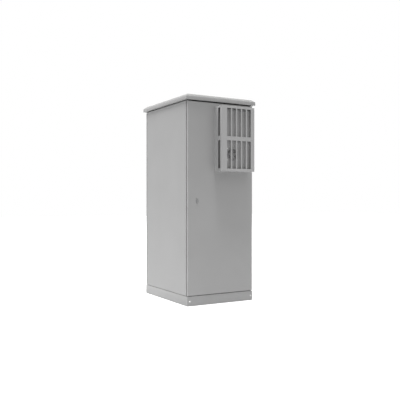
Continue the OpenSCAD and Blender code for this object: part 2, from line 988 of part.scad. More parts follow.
module earth_bar() {
    pitch = earth_l / (earth_holes + 2);
    color(brass)
        difference() {
            block(-earth_l / 2, earth_l / 2, earth_y1 - earth_t, earth_y1,
                earth_z - earth_h / 2, earth_z + earth_h / 2);
            for (i = [0 : earth_holes - 1])
                translate([(i - (earth_holes - 1) / 2) * pitch, earth_y1 - earth_t - eps, earth_z])
                    bar_y(earth_hole_d, earth_t + 2 * eps);
        }
}
module earth_insulators() {
    color(rubber)
        both_x()
            translate([earth_l / 2 - insulator_d / 2, earth_y1, earth_z])
                bar_y(insulator_d, insulator_l);
}

// Places of the hinges' middles along the hinge axis
module hinge_places() {
    for (i = [0 : hinges - 1])
        translate([hinge_x, hinge_y, door_z0 + hinge_end + i * hinge_step])
            children();
}

// Leaf at y0 with its own knuckles, cut clear of the other leaf's
module hinge_leaf(y0, own, other) {
    gap = knuckle_h / 2 + knuckle_gap;
    difference() {
        union() {
            block(-leaf_w, 0, y0, y0 + leaf_t, -hinge_h / 2, hinge_h / 2);
            for (z = own)
                translate([0, 0, z])
                    cylinder(d = knuckle_d, h = knuckle_h, center = true);
        }
        for (z = other)
            block(-knuckle_d / 2 - fit, knuckle_d, -knuckle_d, knuckle_d, z - gap, z + gap);
        cylinder(d = hinge_pin_d + 2 * run, h = hinge_h + 2 * eps, center = true);
    }
}
module hinge_body_leaves() {
    color(steel)
        hinge_places()
            hinge_leaf(seal_t / 2 - leaf_t, [-knuckle_h, knuckle_h], [0]);
}
module hinge_door_leaves() {
    color(steel)
        hinge_places()
            hinge_leaf(-seal_t / 2, [0], [-knuckle_h, knuckle_h]);
}
module hinge_pins() {
    color(steel)
        hinge_places() {
            cylinder(d = hinge_pin_d, h = hinge_h, center = true);
            translate([0, 0, hinge_h / 2])
                cylinder(d1 = knuckle_d, d2 = hinge_pin_d, h = pin_head_h);
        }
}

// Door sheet with the openings for lock, cooler core and hood bolts
module door_skin() {
    color(paint)
        difference() {
            translate([0, door_y0, door_z0])
                tray(door_w, door_h, door_t, bend_r, door_lip);
            translate([lock_x, door_y0 - eps, lock_z])
                bar_y(shank_d + 2 * fit, sheet_t + 2 * eps);
            block(core_x0 - fit, core_x1 + fit, door_y0 - eps, sheet_y + eps, core_z0 - fit, core_z1 + fit);
            hood_bolt_places(door_y0 - eps)
                bar_y(hood_bolt_d + 2 * fit, sheet_t + 2 * eps);
        }
}

// Channel stiffener between the door's sheet and the plane of its lip
module stiffener(x0, x1) {
    z0 = door_z0 + stiff_end;
    z1 = door_z1 - stiff_end;
    difference() {
        block(x0, x1, sheet_y, stiff_y1, z0, z1);
        block(x0 + sheet_t, x1 - sheet_t, sheet_y - eps, stiff_y1 - sheet_t, z0 - eps, z1 + eps);
    }
}
module lock_stiffener() {
    color(zinc)
        difference() {
            stiffener(lock_x - stiff_lock_w / 2, lock_x + stiff_lock_w / 2);
            translate([lock_x, sheet_y, lock_z])
                bar_y(shank_d, door_t);
        }
}
module hinge_stiffener() {
    x1 = door_w / 2 - door_lip - stiff_gap;
    color(zinc)
        stiffener(x1 - stiff_hinge_w, x1);
}
module door_gasket() {
    color(rubber)
        seal_ring(door_y1, door_y1 + seal_t - fit);
}

// Pear outline round the core and a lower end, with tangent flanks
module pear(r, low_r, drop) {
    tilt = asin((r - low_r) / drop);
    circle(r);
    translate([0, -drop])
        circle(low_r);
    polygon([
        [r * cos(tilt), -r * sin(tilt)], [-r * cos(tilt), -r * sin(tilt)],
        [-low_r * cos(tilt), -drop - low_r * sin(tilt)], [low_r * cos(tilt), -drop - low_r * sin(tilt)]
    ]);
}
module lock_body() {
    ear_x = flap_eye_w / 2 + fit;
    color(lock_grey)
        difference() {
            union() {
                translate([lock_x, door_y0, lock_z])
                    rotate([90, 0, 0])
                        linear_extrude(plate_t) {
                            pear(plate_r, plate_low_r, plate_drop);
                            translate([-ear_x - ear_t, 0])
                                square([2 * (ear_x + ear_t), flap_rise + flap_eye_d / 2]);
                        }
                translate([lock_x, door_y0 - fit, lock_z])
                    bar_y(shank_d, shank_l + fit);
                translate([lock_x, 0, flap_z])
                    both_x()
                        block(ear_x, ear_x + ear_t, flap_y - flap_eye_d / 2, plate_y + fit,
                            -flap_eye_d / 2, flap_eye_d / 2);
            }
            translate([lock_x, plate_y - eps, lock_z])
                bar_y(core_d + 2 * run, plate_t + shank_l + 2 * eps);
            translate([lock_x, plate_y - eps, lock_z])
                bar_y(core_head_d + 2 * fit, core_head_t + 2 * fit + eps);
            translate([lock_x, flap_y, flap_z])
                bar_x(flap_pin_d + 2 * run, flap_eye_w + 2 * (fit + ear_t) + 2 * eps);
        }
}
module lock_nut() {
    color(steel)
        translate([lock_x, sheet_y, lock_z])
            difference() {
                rotate([-90, 0, 0])
                    cylinder(d = nut_af * hex, h = nut_t, $fn = 6);
                translate([0, -eps, 0])
                    bar_y(shank_d + 2 * fit, nut_t + 2 * eps);
            }
}
module flap_pin() {
    color(steel)
        translate([lock_x, flap_y, flap_z])
            bar_x(flap_pin_d, flap_eye_w + 2 * (fit + ear_t));
}
module dust_flap() {
    y0 = plate_y - fit - flap_t;
    color(lock_grey)
        difference() {
            union() {
                translate([lock_x, y0 + flap_t, lock_z])
                    rotate([90, 0, 0])
                        linear_extrude(flap_t) {
                            pear(plate_r - fit, plate_low_r - fit, plate_drop);
                            translate([-flap_eye_w / 2, 0])
                                square([flap_eye_w, flap_rise]);
                        }
                translate([lock_x, flap_y, flap_z])
                    bar_x(flap_eye_d, flap_eye_w);
            }
            translate([lock_x, flap_y, flap_z])
                bar_x(flap_pin_d + 2 * run, flap_eye_w + 2 * eps);
        }
}
module lock_core() {
    face_y = plate_y + fit;
    color(steel)
        difference() {
            translate([lock_x, face_y, lock_z]) {
                bar_y(core_head_d, core_head_t);
                bar_y(core_d, cam_y0 - face_y);
                rotate([-90, 45, 0])
                    cylinder(d = cam_square * sqrt(2), h = cam_y1 - face_y, $fn = 4);
            }
            block(lock_x - key_w / 2, lock_x + key_w / 2, face_y - eps, face_y + key_deep,
                lock_z - key_l / 2, lock_z + key_l / 2);
        }
}

// Drive pins at rest: the first for the upper rod, the second for the lower
module drive_places(y) {
    for (side = [1, -1])
        translate([lock_x + side * drive_side, y, lock_z - side * drive_side])
            children();
}

// Cam outline: hub, arms and round ends, with the core's square
module cam_outline() {
    difference() {
        union() {
            circle(d = core_d + 2 * cam_end_r);
            square([2 * drive_r, cam_arm], center = true);
            for (side = [1, -1])
                translate([side * drive_r, 0])
                    circle(cam_end_r);
        }
        rotate(45)
            square(cam_square + 2 * run, center = true);
    }
}
module lock_cam() {
    color(steel) {
        translate([lock_x, cam_y1, lock_z])
            rotate([90, 45, 0])
                linear_extrude(cam_t)
                    cam_outline();
        drive_places(cam_y1 - cam_t / 2)
            bar_y(drive_d, cam_t / 2 + rod_y1 + 2 * fit - cam_y1);
    }
}

// Rod with its slotted end at the drive pin and its tip at tip_z
module rod(side, tip_z) {
    eye_z = lock_z - side * drive_side;
    eye_half = slot_half + rod_eye_wall;
    x = lock_x + side * rod_off;
    slot_r = drive_d / 2 + drive_play;
    difference() {
        union() {
            block(x - eye_half, x + eye_half, rod_y0, rod_y1, eye_z - rod_eye_h / 2, eye_z + rod_eye_h / 2);
            block(x - rod_w / 2, x + rod_w / 2, rod_y0, rod_y1, min(eye_z, tip_z), max(eye_z, tip_z));
        }
        block(x - slot_half, x + slot_half, rod_y0 - eps, rod_y1 + eps, eye_z - slot_r, eye_z + slot_r);
    }
}
module upper_rod() {
    color(steel)
        rod(1, rod_tip_z[0]);
}
module lower_rod() {
    color(steel)
        rod(-1, rod_tip_z[1]);
}
module rod_guide(side, z) {
    x = lock_x + side * rod_off;
    half = rod_w / 2 + fit + guide_wall;
    translate([x, 0, z - guide_h / 2])
        difference() {
            block(-half, half, stiff_y1, rod_y1 + fit + guide_wall, 0, guide_h);
            block(-rod_w / 2 - fit, rod_w / 2 + fit, rod_y0 - fit, rod_y1 + fit, -eps, guide_h + eps);
        }
}
module rod_guides() {
    color(black)
        for (side = [1, -1]) {
            rod_guide(side, lock_z + side * guide_near);
            rod_guide(side, rod_tip_z[side > 0 ? 0 : 1] - side * guide_tip);
        }
}

// Hood with its slots, open towards the door inside its fold
module cooler_hood() {
    row_pitch = slot_h + slot_mid;
    color(paint)
        translate([(hood_x0 + hood_x1) / 2, door_y0 - hood_d, hood_z0])
            difference() {
                tray(hood_w, hood_h, hood_d, hood_r, hood_fold);
                for (row = [0 : slot_rows - 1]) {
                    z = slot_low + row * row_pitch;
                    for (col = [0 : slot_cols - 1])
                        translate([slot_shift - slots_w / 2 + col * slot_pitch, -eps, z])
                            cube([slot_w, sheet_t + 2 * eps, slot_h]);
                    translate([-hood_w / 2 - eps, hood_d - side_slot_from - side_slot_w, z])
                        cube([hood_w + 2 * eps, side_slot_w, slot_h]);
                }
                translate([-(hood_x0 + hood_x1) / 2, hood_d - door_y0, -hood_z0])
                    hood_bolt_places(door_y0 - sheet_t - eps)
                        bar_y(hood_bolt_d + 2 * fit, sheet_t + 2 * eps);
            }
}
module hood_bolt_places(y) {
    step = (hood_h - 2 * casing_low) / (hood_bolts - 1);
    for (x = [hood_x0 + hood_fold / 2 + sheet_t / 2, hood_x1 - hood_fold / 2 - sheet_t / 2])
        for (i = [0 : hood_bolts - 1])
            translate([x, y, hood_z0 + casing_low + i * step])
                children();
}
module hood_bolts() {
    color(steel)
        hood_bolt_places(sheet_y)
            rotate([90, 0, 0])
                hex_bolt(hood_bolt_d, hood_bolt_l);
}

// Casing under the hood, open to the door, with the outer fan's opening
module cooler_casing() {
    outlet_w = (casing_x1 - casing_x0 - outlet_bar) / outlets - outlet_bar;
    color(casing_grey)
        difference() {
            block(casing_x0, casing_x1, casing_y0, door_y0, casing_z0, casing_z1);
            block(casing_x0 + sheet_t, casing_x1 - sheet_t, casing_y0 + sheet_t, door_y0 + eps,
                casing_z0 + sheet_t, casing_z1 - sheet_t);
            translate([fan_x, casing_y0 - eps, fan_z])
                bar_y(fan_d, sheet_t + 2 * eps);
            for (i = [0 : outlets - 1])
                translate([casing_x0 + outlet_bar + i * (outlet_w + outlet_bar),
                    (casing_y0 + door_y0 - outlet_d) / 2, casing_z1 - sheet_t - eps])
                    cube([outlet_w, outlet_d, sheet_t + 2 * eps]);
        }
}

// Finned core through the door, held by its flange on the door's face
module exchanger_core() {
    fin_pitch = (core_x1 - core_x0 - fin_t) / (core_fins - 1);
    color(fins) {
        for (z = [core_z0, core_z1 - core_plate])
            block(core_x0, core_x1, core_y0, core_y1, z, z + core_plate);
        for (i = [0 : core_fins - 1])
            translate([core_x0 + i * fin_pitch, core_y0, core_z0])
                cube([fin_t, core_y1 - core_y0, core_z1 - core_z0]);
        difference() {
            block(core_x0 - core_flange, core_x1 + core_flange, door_y0 - sheet_t, door_y0,
                core_z0 - core_flange, core_z1 + core_flange);
            block(core_x0, core_x1, door_y0 - sheet_t - eps, door_y0 + eps, core_z0, core_z1);
        }
    }
}

// Housing inside the door, open to the door's sheet
module inner_housing() {
    slots_z = core_z1 - core_z0 - 2 * core_gap;
    pitch = slots_z / return_slots;
    color(paint)
        difference() {
            block(inner_x0, inner_x1, sheet_y, inner_y1, inner_z0, inner_z1);
            block(inner_x0 + sheet_t, inner_x1 - sheet_t, sheet_y - eps, inner_y1 - sheet_t,
                inner_z0 + sheet_t, inner_z1 - sheet_t);
            inner_fan_place()
                translate([0, -sheet_t - eps, 0])
                    bar_y(fan_d, sheet_t + 2 * eps);
            for (i = [0 : return_slots - 1])
                block(core_x0 + core_gap, core_x1 - core_gap, inner_y1 - sheet_t - eps, inner_y1 + eps,
                    core_z0 + core_gap + i * pitch, core_z0 + core_gap + i * pitch + return_slot_h);
        }
}

// Fan places: behind the casing's front, and inside the inner housing's back
module outer_fan_place() {
    translate([fan_x, casing_y0 + sheet_t, fan_z])
        children();
}
module inner_fan_place() {
    translate([fan_x, inner_y1 - sheet_t, fan_z])
        mirror([0, 1, 0])
            children();
}

// Square frame with a ring, and struts that carry the motor's seat
module fan_frame_body() {
    difference() {
        union() {
            block(-fan_frame / 2, fan_frame / 2, 0, fan_wall, -fan_frame / 2, fan_frame / 2);
            bar_y(fan_d + 2 * fan_wall, fan_ring_l);
        }
        translate([0, -eps, 0])
            bar_y(fan_d, fan_ring_l + 2 * eps);
    }
    translate([0, seat_y, 0])
        difference() {
            union() {
                bar_y(motor_d, 2 * fan_wall);
                for (i = [0 : fan_struts - 1])
                    rotate([0, 45 + i * 360 / fan_struts, 0])
                        block(0, fan_d / 2 + fan_wall / 2, 0, fan_wall, -strut_w / 2, strut_w / 2);
            }
            translate([0, -eps, 0])
                bar_y(fan_shaft_d + 2, 2 * fan_wall + 2 * eps);
        }
}
module fan_motor_body() {
    translate([0, fan_ring_l, 0])
        difference() {
            bar_y(motor_d, motor_l);
            translate([0, -eps, 0])
                bar_y(fan_shaft_d + 2 * run, motor_l - motor_floor + eps);
        }
}

// Blade outline: narrow root at the hub, wide swept tip
module fan_blade() {
    root = fan_hub_d / 2 - blade_t;
    chord = (fan_hub_l - 2 * blade_t) / sin(blade_pitch);
    rotate([blade_pitch - 90, 0, 0])
        linear_extrude(blade_t, center = true)
            polygon([
                [root, -0.28 * chord], [fan_d / 2, -0.42 * chord],
                [fan_d / 2, 0.5 * chord], [root, 0.28 * chord]
            ]);
}
module fan_rotor_body() {
    translate([0, rotor_y0, 0])
        bar_y(fan_hub_d, fan_hub_l);
    translate([0, rotor_y0, 0])
        bar_y(fan_shaft_d, fan_ring_l + motor_l - motor_floor - fit - rotor_y0);
    intersection() {
        translate([0, rotor_y0, 0])
            bar_y(fan_d - 2 * blade_gap, fan_hub_l);
        for (i = [0 : fan_blades - 1])
            rotate([0, i * 360 / fan_blades, 0])
                translate([0, rotor_y0 + fan_hub_l / 2, 0])
                    fan_blade();
    }
}
module fan_guard_body() {
    translate([0, -sheet_t - fit - guard_bar_d / 2, 0]) {
        for (i = [1 : guard_rings])
            rotate([90, 0, 0])
                rotate_extrude()
                    translate([guard_r * i / guard_rings, 0])
                        circle(d = guard_wire_d);
        for (angle = [0, 90])
            rotate([0, angle, 0])
                bar_x(guard_bar_d, 2 * guard_r);
    }
}
module outer_fan_frame() {
    color(fan_grey)
        outer_fan_place()
            fan_frame_body();
}
module outer_fan_motor() {
    color(fan_grey)
        outer_fan_place()
            fan_motor_body();
}
module outer_fan_guard() {
    color(casing_grey)
        outer_fan_place()
            fan_guard_body();
}
module outer_fan_rotor() {
    color(fan_grey)
        outer_fan_place()
            fan_rotor_body();
}
module inner_fan_frame() {
    color(fan_grey)
        inner_fan_place()
            fan_frame_body();
}
module inner_fan_motor() {
    color(fan_grey)
        inner_fan_place()
            fan_motor_body();
}
module inner_fan_guard() {
    color(casing_grey)
        inner_fan_place()
            fan_guard_body();
}
module inner_fan_rotor() {
    color(fan_grey)
        inner_fan_place()
            fan_rotor_body();
}

plinth_left();
plinth_right();
plinth_front_cover();
plinth_rear_cover();
plinth_screws();
base_bolts();
floor_plate();
floor_rims();
gland_plate();
cable_grommets();
post_front_left();
post_front_right();
post_rear_left();
post_rear_right();
top_plate();
top_rims();
side_panel_left();
side_panel_right();
rear_panel();
rear_gasket();
rear_panel_bolts();
roof_canopy();
roof_bearers();
roof_bolts();
rail_front_left();
rail_front_right();
rail_rear_left();
rail_rear_right();
depth_bars();
rail_brackets();
earth_bar();
earth_insulators();
hinge_body_leaves();
hinge_pins();
hinge_door_leaves();
door_skin();
lock_stiffener();
hinge_stiffener();
door_gasket();
lock_body();
lock_nut();
flap_pin();
dust_flap();
lock_core();
lock_cam();
upper_rod();
lower_rod();
rod_guides();
cooler_hood();
hood_bolts();
cooler_casing();
exchanger_core();
inner_housing();
outer_fan_frame();
outer_fan_motor();
outer_fan_guard();
outer_fan_rotor();
inner_fan_frame();
inner_fan_motor();
inner_fan_guard();
inner_fan_rotor();
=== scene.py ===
"""Roadside utility cabinet: finishes, folded edges, small fittings and studio around the fixed frame."""

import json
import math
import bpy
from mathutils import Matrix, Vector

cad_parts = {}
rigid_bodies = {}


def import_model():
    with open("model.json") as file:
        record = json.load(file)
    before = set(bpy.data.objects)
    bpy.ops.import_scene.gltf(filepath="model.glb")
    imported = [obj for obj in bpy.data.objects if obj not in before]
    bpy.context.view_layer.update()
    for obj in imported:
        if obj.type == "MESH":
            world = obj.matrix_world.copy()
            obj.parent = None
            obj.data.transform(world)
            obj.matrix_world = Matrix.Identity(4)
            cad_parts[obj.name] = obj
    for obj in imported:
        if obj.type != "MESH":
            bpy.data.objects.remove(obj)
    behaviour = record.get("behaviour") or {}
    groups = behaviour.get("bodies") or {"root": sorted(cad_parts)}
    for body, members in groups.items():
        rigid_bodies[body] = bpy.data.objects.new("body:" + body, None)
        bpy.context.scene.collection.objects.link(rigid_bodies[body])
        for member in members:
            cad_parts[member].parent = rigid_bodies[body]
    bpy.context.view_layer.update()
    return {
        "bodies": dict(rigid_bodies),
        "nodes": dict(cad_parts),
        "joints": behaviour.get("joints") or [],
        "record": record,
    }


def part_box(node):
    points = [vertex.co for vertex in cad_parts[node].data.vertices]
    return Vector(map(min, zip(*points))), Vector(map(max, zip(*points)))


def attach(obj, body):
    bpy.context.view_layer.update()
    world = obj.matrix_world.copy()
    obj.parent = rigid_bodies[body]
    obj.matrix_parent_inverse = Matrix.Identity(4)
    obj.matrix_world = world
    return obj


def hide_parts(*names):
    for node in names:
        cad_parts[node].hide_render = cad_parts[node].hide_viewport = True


bl_info = {
    "name": "Roadside Utility Cabinet",
    "version": (1, 0, 0),
    "blender": (4, 5, 0),
    "location": "View3D > Sidebar > Cabinet",
    "description": "Dresses the outdoor equipment cabinet with its finishes, fittings and studio",
    "category": "Object",
}

import bmesh
import bpy
from bpy.props import FloatProperty, FloatVectorProperty, PointerProperty
from bpy.types import Operator, Panel, PropertyGroup
from mathutils import Matrix, Vector

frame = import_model()

MM = 0.001
SLOT_OF = {entry["node"]: entry["material_slot"] for entry in frame["record"]["subparts"]}
BODY_OF = {
    node: body
    for body, nodes in frame["record"]["behaviour"]["bodies"].items()
    for node in nodes
}
JOINT = {joint["name"]: joint for joint in frame["joints"]}

# Quaternions keep the lock's quarter turn exact while the door stands open
for turning in frame["bodies"].values():
    turning.rotation_mode = "QUATERNION"

# Nodes whose finish is a lighter copy of their slot's paint: painted light
LIT_COPY_FINISH = {"cooler_hood": "hood_paint"}

# Nodes that get a copy with rounded bends, with the bend's radius in millimetres
FOLDED = {
    "roof_canopy": 3.0,
    "plinth_left": 4.0,
    "plinth_right": 4.0,
    "cooler_casing": 2.5,
    "inner_housing": 2.5,
    "lock_stiffener": 2.5,
    "hinge_stiffener": 2.5,
    "post_front_left": 2.0,
    "post_front_right": 2.0,
    "post_rear_left": 2.0,
    "post_rear_right": 2.0,
    "upper_rod": 0.8,
    "lower_rod": 0.8,
    "rod_guides": 1.0,
    "earth_bar": 0.8,
}
# Nodes whose crisp edges are only eased, with the width in millimetres
EASED = {
    "lock_body": 0.6,
    "dust_flap": 0.5,
    "plinth_screws": 1.0,
    "plinth_front_cover": 0.6,
    "plinth_rear_cover": 0.6,
    "lock_cam": 0.4,
}
# Steps across a bend and across an eased edge
FOLD_STEPS = 3
EASE_STEPS = 2
# An edge is rounded when both its faces are this many radii wide, and meet at this angle or more
WIDE_ENOUGH = 2.2
CRISP_DEGREES = 25
# Distance at which a node's loose triangles are joined, and the angle under which they lie in one plane
MERGE_REACH = 1e-6
FLAT_DEGREES = 1.0
# Edges sharper than this stay sharp in smooth shading
TWIN_SHADE_DEGREES = 30
HEAD_SHADE_DEGREES = 35

# Screw and rivet heads: radius and height
HINGE_HEAD = (3.2 * MM, 1.0 * MM)
BRACKET_HEAD = (5.0 * MM, 3.6 * MM)
GLAND_HEAD = (3.0 * MM, 1.8 * MM)
EARTH_HEAD = (5.5 * MM, 4.0 * MM)
FAN_HEAD = (4.2 * MM, 2.4 * MM)
RIVET_HEAD = (3.2 * MM, 1.2 * MM)
# Sides of a head, share of its height that is domed, and width of the dome's top
ROUND = {"sides": 20, "dome": 0.4}
HEXAGON = {"sides": 6, "dome": 0.15}
CROWN_SHARE = 0.62
# Sheet of hinge leaves and rail brackets, and distance of gland screws and rivets from their plate's edge
LEAF_T = 2.5 * MM
BRACKET_T = 2.0 * MM
GLAND_EDGE = 5.0 * MM
RIVET_EDGE = 12.0 * MM
# Places of screws as shares of a plate's size: columns from the hinge axis or the left, rows from the middle
HINGE_COLUMNS = (0.45, 0.8)
HINGE_ROWS = (-0.36, 0.36)
BRACKET_ROWS = (-0.3, 0.3)
GLAND_COLUMNS = (0.0, 1 / 3, 2 / 3, 1.0)
FAN_CORNER = 0.455
RIVET_COUNT = 7

# What every colour in the sidebar has in common
COLOUR = {"subtype": "COLOR", "size": 3, "min": 0, "max": 1}


class CabinetFinish(PropertyGroup):
    """Colours and grain of the cabinet's finishes."""

    paint: FloatVectorProperty(
        name="Paint", description="Powder coat on panels, door, plinth and roof",
        default=(0.50, 0.50, 0.50), **COLOUR,
    )
    # A lighter copy of the cabinet paint: painted light for the hood, which stands out from under the roof's
    # shade and so catches more light than the door
    hood: FloatVectorProperty(
        name="Hood", description="Powder coat on the cooling hood, less weathered than the cabinet's",
        default=(0.57, 0.57, 0.57), **COLOUR,
    )
    zinc: FloatVectorProperty(
        name="Zinc", description="Galvanised frame, plates and rails",
        default=(0.53, 0.54, 0.55), **COLOUR,
    )
    steel: FloatVectorProperty(
        name="Steel", description="Plated hinges, rods and fasteners",
        default=(0.62, 0.62, 0.61), **COLOUR,
    )
    # Darker than the cabinet paint: painted shade that stands in for the shade in the recess behind the
    # hood's slots
    casing: FloatVectorProperty(
        name="Casing", description="Powder coat on the cooler's casing and the fans' guards",
        default=(0.385, 0.385, 0.385), **COLOUR,
    )
    fan: FloatVectorProperty(
        name="Fan", description="Moulded fans",
        default=(0.60, 0.60, 0.605), **COLOUR,
    )
    rubber: FloatVectorProperty(
        name="Rubber", description="Seals and cable grommets",
        default=(0.022, 0.022, 0.023), **COLOUR,
    )
    plastic: FloatVectorProperty(
        name="Plastic", description="Rod guides and insulators",
        default=(0.030, 0.030, 0.032), **COLOUR,
    )
    casting: FloatVectorProperty(
        name="Lock casting", description="Coated lock plate and dust flap",
        default=(0.39, 0.39, 0.395), **COLOUR,
    )
    aluminium: FloatVectorProperty(
        name="Aluminium", description="Fins of the exchanger core",
        default=(0.66, 0.67, 0.68), **COLOUR,
    )
    brass: FloatVectorProperty(
        name="Brass", description="Earth bar",
        default=(0.62, 0.46, 0.20), **COLOUR,
    )
    # Colour of the film on what faces up: partly dust, partly painted shade that darkens upward faces lit
    # from above
    dust_and_shade: FloatVectorProperty(
        name="Dust", description="Road dust on what faces up",
        default=(0.22, 0.22, 0.216), **COLOUR,
    )
    # Share of the paint that the film hides, which also sets the strength of its painted shade
    dust_and_shade_cover: FloatProperty(
        name="Dust cover", description="Share of the paint that dust hides",
        subtype="FACTOR", min=0, max=1, default=0.68,
    )
    peel: FloatProperty(
        name="Peel size", description="Spacing of the powder coat's fine texture",
        unit="LENGTH", min=0.5 * MM, max=10 * MM, default=2.2 * MM,
    )


class CabinetStage(PropertyGroup):
    """Camera and studio light."""

    camera_place: FloatVectorProperty(
        name="Camera", description="Place of the camera",
        subtype="TRANSLATION", size=3, default=(-3.1850, -5.5813, 1.0820),
    )
    camera_yaw: FloatProperty(
        name="Yaw", description="Turn of the level camera towards the right",
        subtype="ANGLE", default=math.radians(29.987),
    )
    lens: FloatProperty(
        name="Lens", description="Focal length on a 36 mm sensor in millimetres",
        default=51.427,
    )
    sky: FloatProperty(
        name="Sky", description="Even light from all round",
        min=0, default=0.32,
    )
    key_power: FloatProperty(
        name="Key", description="Low lamp at the left rear",
        unit="POWER", min=0, default=300,
    )
    left_power: FloatProperty(
        name="Left", description="High lamp at the left",
        unit="POWER", min=0, default=2800,
    )
    top_power: FloatProperty(
        name="Top", description="Lamp over the front left corner",
        unit="POWER", min=0, default=2240,
    )
    front_power: FloatProperty(
        name="Front", description="High lamp at the front",
        unit="POWER", min=0, default=330,
    )
    fill_power: FloatProperty(
        name="Fill", description="Lamp at the right rear",
        unit="POWER", min=0, default=1200,
    )
    floor_size: FloatProperty(
        name="Floor", description="Edge of the floor",
        unit="LENGTH", min=1, default=60,
    )
    floor_far: FloatProperty(
        name="Floor light", description="Light that the floor sends up",
        min=0, default=0.078,
    )
    floor_near: FloatProperty(
        name="Near light", description="More of it near the cabinet",
        min=0, default=0.36,
    )
    floor_reach: FloatProperty(
        name="Near reach", description="Radius of the nearer light",
        unit="LENGTH", min=1, default=6.0,
    )


def settings():
    """The scene's property groups: finish and stage."""
    scene = bpy.context.scene
    return scene.cabinet_finish, scene.cabinet_stage


class Nodes:
    """Short way to add and link shader nodes in one tree."""

    def __init__(self, tree):
        self.tree = tree

    def add(self, kind, **sockets):
        """A new node; each keyword sets the input of that name, spaces written as underscores."""
        made = self.tree.nodes.new(kind)
        for name, value in sockets.items():
            made.inputs[name.replace("_", " ")].default_value = value
        return made

    def link(self, source, target):
        """Joins an output socket to an input socket."""
        self.tree.links.new(source, target)

    def feed(self, value, target):
        """Sets an input socket to a number, or joins it to an output socket."""
        if isinstance(value, (int, float)):
            target.default_value = value
        else:
            self.link(value, target)


def new_group(name, inputs, outputs):
    """An empty shader node group with float inputs and outputs, and its two end nodes."""
    tree = bpy.data.node_groups.new(name, "ShaderNodeTree")
    for label, default in inputs:
        socket = tree.interface.new_socket(label, in_out="INPUT", socket_type="NodeSocketFloat")
        socket.default_value = default
    for label in outputs:
        tree.interface.new_socket(label, in_out="OUTPUT", socket_type="NodeSocketFloat")
    nodes = Nodes(tree)
    return nodes, nodes.add("NodeGroupInput"), nodes.add("NodeGroupOutput")


def use_group(nodes, tree, **values):
    """Places a shader node group with its own values."""
    made = nodes.add("ShaderNodeGroup")
    made.node_tree = tree
    for name, value in values.items():
        made.inputs[name.replace("_", " ")].default_value = value
    return made


def math_node(nodes, operation, first, second):
    """A Math node on two sockets or numbers; returns its output."""
    made = nodes.add("ShaderNodeMath")
    made.operation = operation
    for value, socket in zip((first, second), made.inputs):
        nodes.feed(value, socket)
    return made.outputs[0]


def map_range(nodes, value, low, high):
    """Spreads a 0..1 value between low and high, which are sockets or numbers."""
    made = nodes.add("ShaderNodeMapRange")
    for source, label in ((value, "Value"), (low, "To Min"), (high, "To Max")):
        nodes.feed(source, made.inputs[label])
    return made.outputs["Result"]


def scaled_by_size(nodes, texture, place, size):
    """Lays a texture out from a place, with features of the given size."""
    nodes.link(place, texture.inputs["Vector"])
    nodes.link(math_node(nodes, "DIVIDE", 1.0, size), texture.inputs["Scale"])


def coat_texture_group():
    """Fine orange peel and slow cloudiness of a sprayed or baked coat."""
    nodes, ends_in, ends_out = new_group(
        "coat_texture",
        (("Peel Size", 0.002), ("Cloud Size", 0.4), ("Rough Low", 0.4), ("Rough High", 0.5)),
        ("Height", "Roughness", "Tone"),
    )
    given = ends_in.outputs
    where = nodes.add("ShaderNodeTexCoord").outputs["Object"]
    peel = nodes.add("ShaderNodeTexNoise", Detail=2.0, Roughness=0.45)
    scaled_by_size(nodes, peel, where, given["Peel Size"])
    cloud = nodes.add("ShaderNodeTexNoise", Detail=3.0, Roughness=0.5)
    scaled_by_size(nodes, cloud, where, given["Cloud Size"])
    gloss = map_range(nodes, cloud.outputs["Fac"], given["Rough Low"], given["Rough High"])
    nodes.link(peel.outputs["Fac"], ends_out.inputs["Height"])
    nodes.link(gloss, ends_out.inputs["Roughness"])
    nodes.link(cloud.outputs["Fac"], ends_out.inputs["Tone"])
    return nodes.tree


# Waves per metre that bend the zinc's crystals, and how far they bend them
CRYSTAL_WAVES = 90.0
CRYSTAL_BEND = (4 * MM, 4 * MM, 4 * MM)


def spangle_group():
    """Crystal pattern of hot-dip zinc."""
    nodes, ends_in, ends_out = new_group(
        "zinc_spangle",
        (("Crystal Size", 0.012), ("Rough Low", 0.28), ("Rough High", 0.5)),
        ("Tone", "Roughness"),
    )
    given = ends_in.outputs
    where = nodes.add("ShaderNodeTexCoord").outputs["Object"]
    warp = nodes.add("ShaderNodeTexNoise", Scale=CRYSTAL_WAVES, Detail=2.0)
    nodes.link(where, warp.inputs["Vector"])
    bend = nodes.add("ShaderNodeVectorMath")
    bend.operation = "MULTIPLY_ADD"
    nodes.link(warp.outputs["Color"], bend.inputs[0])
    bend.inputs[1].default_value = CRYSTAL_BEND
    nodes.link(where, bend.inputs[2])
    crystal = nodes.add("ShaderNodeTexVoronoi")
    scaled_by_size(nodes, crystal, bend.outputs["Vector"], given["Crystal Size"])
    split = nodes.add("ShaderNodeSeparateColor")
    nodes.link(crystal.outputs["Color"], split.inputs["Color"])
    gloss = map_range(nodes, split.outputs["Green"], given["Rough Low"], given["Rough High"])
    nodes.link(split.outputs["Red"], ends_out.inputs["Tone"])
    nodes.link(gloss, ends_out.inputs["Roughness"])
    return nodes.tree


# Thinnest and thickest film of dust and painted shade, as shares of its amount
DUST_AND_SHADE_PATCHES = (0.75, 1.25)


